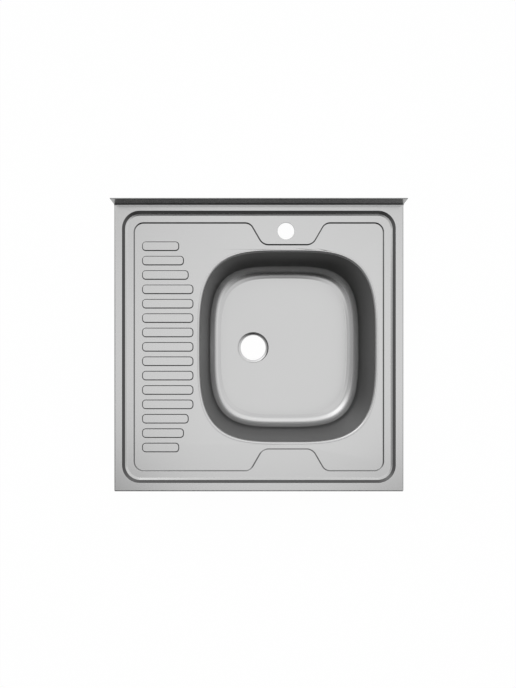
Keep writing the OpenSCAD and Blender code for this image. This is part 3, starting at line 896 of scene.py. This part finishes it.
def make_pad(material):
    low, high = in_mm(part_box("floor_pad"))
    half = (high - low) / 2
    rows = [(PAD_EDGE, STUD_H), (0, STUD_H + PAD_EDGE),
            (0, high.z - PAD_EDGE / 2), (PAD_EDGE / 2, high.z)]
    bm = bmesh.new()
    outside, inside = [], []
    for inset, z in rows:
        loop = square_round(half.x - inset, half.y - inset)
        outside.append(ring(bm, loop, z - TOP_Z))
        hole = circle(BOWL_X + DRAIN_X, DRAIN_Y, DRAIN_CLEAR + inset, BOWL_SIDES // 2)
        inside.append(ring(bm, hole, z - TOP_Z))
    bands(bm, outside)
    bands(bm, inside)
    plate(bm, outside[-1], [inside[-1]])
    plate(bm, outside[0], [inside[0]], down=True)
    bmesh.ops.recalc_face_normals(bm, faces=bm.faces)
    margin = STUD_FOOT + PAD_EDGE
    bm.from_mesh(grown("pad studs", bpy.data.meshes.new("pad studs"), set_studs, {
        "Half width": (half.x - margin) * MM, "Half depth": (half.y - margin) * MM, "Power": BOWL_POWER,
        "Pitch": STUD_PITCH * MM, "Foot": STUD_FOOT * MM, "Top": STUD_TOP * MM, "Height": STUD_H * MM,
        "Middle X": BOWL_X * MM, "Drain X": DRAIN_X * MM, "Drain Y": DRAIN_Y * MM,
        "Clear": (DRAIN_CLEAR + margin) * MM,
    }, material))
    return finished(bm, "embossed_pad", material, smooth=False)


# Screws

def head_rows(head_d, head_h, core_r):
    """The section of a pan head and the shank's start: radius and height, from the top inwards."""
    r = head_d / 2
    rows = arc((r - HEAD_EDGE, head_h - HEAD_EDGE), HEAD_EDGE, 90, 0, FOLD_STEPS)
    return rows + [(r, 0), (core_r, 0)]


def cross_outline(size, width):
    """A cross of two bars, as a loop that runs anticlockwise."""
    a, b = size / 2, width / 2
    quarter = [(a, -b), (a, b), (b, b)]
    loop = []
    for turn in range(4):
        cos, sin = round(math.cos(turn * math.pi / 2)), round(math.sin(turn * math.pi / 2))
        loop += [Vector((x * cos - y * sin, x * sin + y * cos)) for x, y in quarter]
    return loop


def wind_thread(tree, given):
    """A screw thread: a ridge wound round the shank, then drawn in along the point."""
    ridge = add_node(tree, "GeometryNodeCurvePrimitiveCircle", Resolution=4, Radius=given["Ridge"])
    parts = tree.nodes.new("GeometryNodeJoinGeometry")
    low = plus(given["Start"], given["Length"])
    for start, length, last in ((given["Start"], given["Length"], given["Core"]),
                                (low, given["Point"], given["Tip"])):
        path = add_node(tree, "GeometryNodeCurveSpiral", Rotations=over(length, given["Pitch"]),
                        Resolution=given["Steps"], Start_Radius=given["Core"], End_Radius=last,
                        Height=length)
        wound = add_node(tree, "GeometryNodeCurveToMesh", Curve=path.outputs[0],
                         Profile_Curve=ridge.outputs[0], Fill_Caps=True)
        placed = add_node(tree, "GeometryNodeTransform", Geometry=wound.outputs[0],
                          Translation=vector(tree, z=start))
        put(parts.inputs[0], placed.outputs[0])
    return parts.outputs[0]


def make_screw(name, material, seat, aim, sizes):
    """A screw along an axis from its seat: a pan head with a cross, a shank and a wound thread."""
    head_d, head_h, neck_r, neck_l, core_r, thread_r, pitch, thread_l, point_l = sizes
    end = neck_l + thread_l
    section = head_rows(head_d, head_h, neck_r)
    section += [(neck_r, -neck_l + STRIP / 4), (core_r, -neck_l - STRIP / 4), (core_r, -end)]
    if point_l:
        section.append((core_r * TIP_CORE, -end - point_l))
    bm = bmesh.new()
    rows = [ring(bm, circle(0, 0, r, SCREW_SIDES), z - TOP_Z) for r, z in section]
    bands(bm, rows)
    plate(bm, rows[-1], down=True)
    mouth = [ring(bm, cross_outline(head_d / 2, CROSS_W), z - TOP_Z)
             for z in (head_h, head_h - CROSS_DEPTH)]
    band(bm, mouth[0], mouth[1])
    plate(bm, mouth[1])
    plate(bm, rows[0], [mouth[0]])
    bmesh.ops.recalc_face_normals(bm, faces=bm.faces)
    ridge = grown(name + " thread", bpy.data.meshes.new(name + " thread"), wind_thread, {
        "Core": core_r * MM, "Ridge": (thread_r - core_r) * MM, "Pitch": pitch * MM,
        "Start": (neck_l + pitch / 2) * MM, "Length": (thread_l - pitch) * MM,
        "Point": (point_l + pitch / 2) * MM if point_l else pitch / 4 * MM,
        "Tip": (core_r * TIP_THREAD if point_l else core_r) * MM, "Steps": THREAD_STEPS,
    }, material)
    ridge.transform(Matrix.Scale(-1, 4, (0, 0, 1)))
    ridge.flip_normals()
    bm.from_mesh(ridge)
    turn = Vector((0, 0, 1)).rotation_difference(aim).to_matrix().to_4x4()
    bm.transform(Matrix.Translation(seat) @ turn)
    return finished(bm, name, material, smooth=False)


# Spot welds

def set_welds(tree, given):
    """A low round button at each point, narrower away from the sheet."""
    top = times(given["Radius"], WELD_TOP)
    button = add_node(tree, "GeometryNodeMeshCone", Vertices=WELD_SIDES, Side_Segments=2,
                      Fill_Segments=2, Radius_Top=given["Radius"], Radius_Bottom=top,
                      Depth=given["Height"])
    return instances(tree, given["Geometry"], button.outputs["Mesh"])


def make_welds(name, places, material):
    base = point_mesh(name, [(x, y, z + TOP_Z) for x, y, z in places])
    mesh = grown(name, base, set_welds, {"Radius": WELD_R * MM, "Height": WELD_H * MM}, material)
    return new_object(name, mesh)


def rail_weld_places():
    """On both flanges of the rail, between the ribs."""
    low, high = in_mm(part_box("drainboard_rail"))
    middle = (low.x + high.x) / 2
    reach = (high.x - low.x) / 2 - RAIL_FLANGE / 2
    z = high.z - RAIL_T - WELD_H - TOP_Z
    rows = [(i - RIB_COUNT / 2) * RIB_PITCH for i in range(RIB_COUNT + 1)]
    return [(middle + side * reach, y, z) for side in (-1, 1) for y in rows]


def plate_weld_places():
    """Round the tap hole, near the plate's edge."""
    low, high = in_mm(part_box("tap_plate"))
    middle = (low + high) / 2
    half = (high - low) / 2 - Vector((PLATE_WELD_IN, PLATE_WELD_IN, 0))
    z = low.z - WELD_H - TOP_Z
    return [(middle.x + i * half.x, middle.y + j * half.y, z) for i in (-1, 1) for j in (-1, 0, 1)]


# Materials: effects that several finishes share

def shader_group(name, inputs, outputs):
    tree = bpy.data.node_groups.new(name, "ShaderNodeTree")
    for label, value in inputs.items():
        add_socket(tree, label, "INPUT", "Float").default_value = value
    for label in outputs:
        add_socket(tree, label, "OUTPUT", "Float")
    return tree, tree.nodes.new("NodeGroupInput").outputs, tree.nodes.new("NodeGroupOutput").inputs


def own_place(tree):
    return given_by(tree, "ShaderNodeTexCoord", "Object")


def spread(value, amount, middle=1.0):
    """A noise value turned into a value that varies about a middle."""
    return times_plus(minus(value, 0.5), amount, middle)


def grain_group():
    """Fine lines left by rolling, over faint cloudy patches."""
    tree, given, out = shader_group(
        "Rolled grain", {"Along": 60, "Across": 1500, "Patches": 8, "Tone spread": 0.1},
        ("Tone", "Roughness shift", "Height"))
    place = own_place(tree)
    scale = vector(tree, given["Along"], given["Across"], given["Across"])
    drawn_out = worked_out("ShaderNodeVectorMath", "MULTIPLY", place, scale)[0]
    lines = add_node(tree, "ShaderNodeTexNoise", Scale=1.0, Detail=3.0, Vector=drawn_out).outputs[0]
    patches = add_node(tree, "ShaderNodeTexNoise", Scale=given["Patches"], Detail=2.0, Vector=place)
    both = times_plus(patches.outputs[0], GRAIN_PATCHES, times(lines, GRAIN_LINES))
    put(out["Tone"], spread(both, given["Tone spread"]))
    put(out["Roughness shift"], spread(both, given["Tone spread"], 0.0))
    put(out["Height"], lines)
    return tree


def edge_group():
    """Where a part is rubbed bright: along its edges, broken up by noise."""
    tree, given, out = shader_group("Rubbed edges", {"Reach": EDGE_REACH * MM, "Grain": 900}, ("Mask",))
    bent = add_node(tree, "ShaderNodeBevel", {"samples": 4}, Radius=given["Reach"]).outputs[0]
    plain = given_by(tree, "ShaderNodeNewGeometry", "Normal")
    match = worked_out("ShaderNodeVectorMath", "DOT_PRODUCT", bent, plain)["Value"]
    edge = between(match, EDGE_FROM, EDGE_TO)
    noise = add_node(tree, "ShaderNodeTexNoise", Scale=given["Grain"], Detail=2.0,
                     Vector=own_place(tree))
    put(out["Mask"], times(edge, between(noise.outputs[0], BREAK_FROM, BREAK_TO)))
    return tree


def cell_group():
    """Cells of one tone each, as in zinc spangle or cut foam, with darker seams."""
    tree, given, out = shader_group("Cells", {"Scale": 150, "Tone spread": 0.3},
                                    ("Tone", "Seam", "Height"))
    place = own_place(tree)
    cells = add_node(tree, "ShaderNodeTexVoronoi", Scale=given["Scale"], Vector=place)
    seams = add_node(tree, "ShaderNodeTexVoronoi", {"feature": "DISTANCE_TO_EDGE"},
                     Scale=given["Scale"], Vector=place)
    put(out["Tone"], spread(split(cells.outputs["Color"])["X"], given["Tone spread"]))
    put(out["Seam"], between(seams.outputs[0], 0.0, SEAM_W))
    put(out["Height"], cells.outputs["Distance"])
    return tree


GRAIN = grain_group()
RUBBED = edge_group()
CELLS = cell_group()


def new_material(name, metallic, roughness):
    mat = bpy.data.materials.new(name)
    mat.use_nodes = True
    shader = mat.node_tree.nodes["Principled BSDF"]
    shader.inputs["Metallic"].default_value = metallic
    shader.inputs["Roughness"].default_value = roughness
    return mat, mat.node_tree, shader.inputs


def group_node(tree, group, **values):
    return add_node(tree, "ShaderNodeGroup", {"node_tree": group}, **values).outputs


def tinted(color, tone):
    """A colour made lighter or darker by a tone that varies about one."""
    node = add_node(tone.id_data, "ShaderNodeVectorMath", {"operation": "SCALE"}, Scale=tone)
    node.inputs[0].default_value = color
    return node.outputs[0]


def mixed(share, first, last):
    node = add_node(share.id_data, "ShaderNodeMix", {"data_type": "RGBA"}, Factor=share)
    for label, value in (("A", first), ("B", last)):
        put(next(s for s in node.inputs if s.name == label and s.type == "RGBA"), value)
    return next(s for s in node.outputs if s.type == "RGBA")


def bumped(shader, height, depth, strength=1.0):
    tree = height.id_data
    node = add_node(tree, "ShaderNodeBump", Strength=strength, Distance=depth * MM, Height=height)
    put(shader["Normal"], node.outputs[0])


def slope_shade_and_rough_group():
    """A mask by slope, none where it is level and all where it is steep: its tone is painted shade on
    steep faces, and its mask sets roughness.
    """
    # No upward part is below zero, so upright flanges get the full painted shade unless a material says
    # otherwise
    tree, given, out = shader_group("Painted slope shade and roughness", {
        "From": ROUGH_FROM, "To": ROUGH_TO, "Plain from": -1, "Plain to": -2, "Tone": 1,
    }, ("Tone", "Mask"))
    up = maths("ABSOLUTE", split(given_by(tree, "ShaderNodeNewGeometry", "Normal"))["Z"])
    steep = between(up, given["From"], given["To"])
    steep = times(steep, between(up, given["Plain from"], given["Plain to"], 1.0, UPRIGHT_SHADE_LEFT))
    # Painted shade: the tone falls from one towards the given tone on steep faces
    put(out["Tone"], times_plus(steep, minus(given["Tone"], 1.0), 1.0))
    put(out["Mask"], steep)
    return tree


SLOPE_SHADE_AND_ROUGH = slope_shade_and_rough_group()


def steel_with_painted_shade(name, along, across, rough, rim_shade_tone=None, **shade_settings):
    """Sheet steel, bright where it is flat, with painted shade darkening it where it is steep or folded,
    and rougher there.
    """
    mat, tree, shader = new_material(name, 1, STEEL_ROUGH)
    if rim_shade_tone:
        # Painted shade, darkest low in the bowl and lighter towards the rim
        height = split(own_place(tree))["Z"]
        low, high = (FLOOR_Z + DARKEST_SHADE_HEIGHT + TOP_Z) * MM, (PANEL_Z + TOP_Z) * MM
        shade_settings["Tone"] = between(height, low, high, shade_settings["Tone"], rim_shade_tone)
    grain = group_node(tree, GRAIN, Along=along, Across=across)
    # The colour carries the painted shade of steep faces and the grain's random tone
    tone = times(group_node(tree, SLOPE_SHADE_AND_ROUGH, **shade_settings)["Tone"], grain["Tone"])
    put(shader["Base Color"], tinted(STEEL, tone))
    stretched = group_node(tree, SLOPE_SHADE_AND_ROUGH)["Mask"]
    dull = times_plus(stretched, rough - STEEL_ROUGH, STEEL_ROUGH)
    put(shader["Roughness"], plus(grain["Roughness shift"], dull))
    bumped(shader, grain["Height"], STEEL_BUMP, STEEL_BUMP_SHARE)
    return mat


def galvanised_steel():
    mat, tree, shader = new_material("galvanised_steel", 1, GALVANISED_ROUGH)
    cells = group_node(tree, CELLS, Scale=160, Tone_spread=0.3)
    worn = group_node(tree, RUBBED)["Mask"]
    put(shader["Base Color"], mixed(worn, tinted(GALVANISED, cells["Tone"]), GALVANISED_WORN))
    put(shader["Roughness"], times(cells["Tone"], GALVANISED_ROUGH))
    bumped(shader, cells["Seam"], GALVANISED_BUMP)
    return mat


def plated(name, color, worn_color, roughness):
    """A thin plating with fine turning marks and edges rubbed to the metal."""
    mat, tree, shader = new_material(name, 1, roughness)
    grain = group_node(tree, GRAIN, Along=2500, Across=600, Patches=120, Tone_spread=0.3)
    worn = group_node(tree, RUBBED, Reach=PLATE_REACH * MM, Grain=1500)["Mask"]
    put(shader["Base Color"], mixed(worn, tinted(color, grain["Tone"]), worn_color))
    put(shader["Roughness"], plus(grain["Roughness shift"], roughness))
    bumped(shader, grain["Height"], PLATE_BUMP, PLATE_BUMP_SHARE)
    return mat


def closed_foam():
    mat, tree, shader = new_material("closed_foam", 0, FOAM_ROUGH)
    cells = group_node(tree, CELLS, Scale=900, Tone_spread=0.7)
    put(shader["Base Color"], mixed(cells["Seam"], FOAM_SEAM, tinted(FOAM, cells["Tone"])))
    bumped(shader, cells["Height"], FOAM_BUMP)
    return mat


def pressed_bitumen():
    mat, tree, shader = new_material("pressed_bitumen", 0, BITUMEN_ROUGH)
    cells = group_node(tree, CELLS, Scale=420, Tone_spread=0.5)
    grain = group_node(tree, GRAIN, Along=300, Across=300, Patches=25, Tone_spread=0.5)
    put(shader["Base Color"], tinted(BITUMEN, times(cells["Tone"], grain["Tone"])))
    put(shader["Roughness"], times(grain["Tone"], BITUMEN_ROUGH))
    bumped(shader, cells["Height"], BITUMEN_BUMP)
    return mat


# Satin steel of the deck, with painted shade darkening its presses, folds, ribs' sides and upstand
steel = steel_with_painted_shade("satin_steel_painted_fold_shade", 60, 1500, STEEL_ROUGH, From=FOLD_SHADE_FROM, To=FOLD_SHADE_TO, Tone=FOLD_SHADE_TONE,
                     Plain_from=UPRIGHT_SHADE_FROM, Plain_to=UPRIGHT_SHADE_TO)
# Steel of the bowl, with painted shade darkening its steep wall
wall_shaded_steel = steel_with_painted_shade("steel_painted_wall_shade", 400, 900, WALL_ROUGH, WALL_RIM_SHADE_TONE, From=WALL_SHADE_FROM, To=WALL_SHADE_TO,
                     Tone=WALL_SHADE_TONE)
finishes = {
    "stainless": steel,
    "galvanised": galvanised_steel(),
    "zinc": plated("zinc_plate", ZINC, ZINC_WORN, ZINC_ROUGH),
    "brass": plated("brass", BRASS, BRASS_WORN, BRASS_ROUGH),
    "foam": closed_foam(),
    "bitumen": pressed_bitumen(),
}
for part in frame["record"]["subparts"]:
    node = frame["nodes"][part["node"]]
    node.data.materials.clear()
    node.data.materials.append(finishes[part["material_slot"]])


# The pieces that stand for nodes, and the small parts that ride with them

dress(make_deck(steel), "stainless", "deck")
dress(make_bowl(wall_shaded_steel), "stainless", "bowl")
dress(make_pad(finishes["bitumen"]), "bitumen", "floor_pad")
for seed, side in enumerate(("front", "left", "right")):
    strip = make_foam_strip("foam_" + side, "seal_" + side, finishes["foam"], seed)
    dress(strip, "foam", "seal_" + side)

for side in ("left", "right"):
    for end in ("front", "back"):
        low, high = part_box(f"screw_{side}_{end}")
        middle = (low + high) / 2
        inward = 1 if side == "left" else -1
        face = high.x if side == "left" else low.x
        seat = Vector((face - inward * WOOD_SCREW[1] * MM, middle.y, middle.z))
        name = f"clip_screw_{side}_{end}"
        aim = Vector((inward, 0, 0))
        screw = make_screw(name, finishes["zinc"], seat, aim, WOOD_SCREW)
        dress(screw, "zinc", f"screw_{side}_{end}", body=f"screw_{side}_{end}")

low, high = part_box("earth_screw")
middle = (low + high) / 2
seat = Vector((middle.x, low.y + EARTH_SCREW[1] * MM, middle.z))
screw = make_screw("bonding_screw", finishes["brass"], seat, Vector((0, -1, 0)), EARTH_SCREW)
dress(screw, "brass", "earth_screw")

dress(make_welds("rail_welds", rail_weld_places(), finishes["galvanised"]), "galvanised")
dress(make_welds("tap_plate_welds", plate_weld_places(), finishes["galvanised"]), "galvanised")


# Floor and light

def blend(share, first, last):
    """Two shaders mixed by a share."""
    node = add_node(share.id_data, "ShaderNodeMixShader", Fac=share)
    put(node.inputs[1], first)
    put(node.inputs[2], last)
    return node.outputs[0]


def make_floor():
    """A white floor just under the object, which a camera below it sees through."""
    bm = bmesh.new()
    low = Matrix.Translation((0, 0, -FLOOR_CLEAR * MM))
    bmesh.ops.create_grid(bm, x_segments=FLOOR_CELLS, y_segments=FLOOR_CELLS, size=FLOOR_HALF,
                          matrix=low)
    mat = bpy.data.materials.new("floor_white")
    floor = finished(bm, "floor", mat)
    mat.use_nodes = True
    tree = mat.node_tree
    tree.nodes.clear()
    lit = add_node(tree, "ShaderNodeBsdfDiffuse", Color=FLOOR_GREY).outputs[0]
    glow = add_node(tree, "ShaderNodeEmission", Color=WHITE, Strength=1.0).outputs[0]
    path = tree.nodes.new("ShaderNodeLightPath").outputs
    seen = maths("MAXIMUM", path["Is Camera Ray"], path["Is Glossy Ray"])
    seen = maths("MAXIMUM", seen, path["Is Transmission Ray"])
    white = blend(times(seen, FLOOR_GLOW), lit, glow)
    behind = given_by(tree, "ShaderNodeNewGeometry", "Backfacing")
    clear = given_by(tree, "ShaderNodeBsdfTransparent")
    whole = blend(times(behind, path["Is Camera Ray"]), white, clear)
    put(tree.nodes.new("ShaderNodeOutputMaterial").inputs[0], whole)


def sky_curve(turn, stops):
    """The brightness at a turn from overhead, where one is level with the horizon."""
    node = add_node(turn.id_data, "ShaderNodeFloatCurve", Value=turn)
    curve = node.mapping.curves[0]
    for i, (degrees, level) in enumerate(stops):
        at = (degrees / 90, level / SKY_PEAK)
        if i in (0, len(stops) - 1):
            curve.points[0 if i == 0 else len(curve.points) - 1].location = at
        else:
            curve.points.new(*at)
    node.mapping.update()
    return node.outputs[0]


def make_world():
    """A studio of four sides and a window, which the camera itself sees as plain white."""
    world = bpy.data.worlds.new("studio")
    bpy.context.scene.world = world
    world.use_nodes = True
    tree = world.node_tree
    tree.nodes.clear()
    way = split(given_by(tree, "ShaderNodeTexCoord", "Generated"))
    turn = over(maths("ARCCOSINE", way["Z"]), math.pi / 2)
    squares = [maths("POWER", way[axis], 2.0) for axis in ("X", "Y")]
    around = plus(plus(*squares), TINY)
    level = 0.0
    sides = (("X", 1.0, SKY_RIGHT), ("X", -1.0, SKY_LEFT), ("Y", 1.0, SKY_REAR), ("Y", -1.0, SKY_FRONT))
    for axis, sign, stops in sides:
        side = maths("MAXIMUM", times(way[axis], sign), 0.0)
        share = over(times(side, side), around)
        level = times_plus(share, sky_curve(turn, stops), level)
    rear = maths("MAXIMUM", way["Y"], 0.0)
    left = maths("MINIMUM", way["X"], 0.0)
    # One halfway between the rear and the left, none at either
    aim = over(times(rear, left), times(around, -0.5))
    level = times_plus(maths("POWER", aim, 2.0), sky_curve(turn, SKY_WINDOW), level)
    level = times(level, SKY_PEAK)
    seen = given_by(tree, "ShaderNodeLightPath", "Is Camera Ray")
    level = times_plus(seen, minus(FLOOR_GLOW, level), level)
    shade = add_node(tree, "ShaderNodeBackground", Color=WHITE, Strength=level)
    put(tree.nodes.new("ShaderNodeOutputWorld").inputs[0], shade.outputs[0])


def make_lamp():
    """A soft overhead lamp that lifts dull surfaces and doesn't mirror in the steel."""
    data = bpy.data.lights.new("overhead", "AREA")
    data.energy = LAMP_POWER
    data.size = LAMP_SIZE
    lamp = bpy.data.objects.new("overhead", data)
    lamp.location = (0, 0, LAMP_HEIGHT)
    lamp.visible_glossy = False
    bpy.context.collection.objects.link(lamp)


make_floor()
make_world()
make_lamp()

bpy.context.scene.view_settings.view_transform = "Standard"
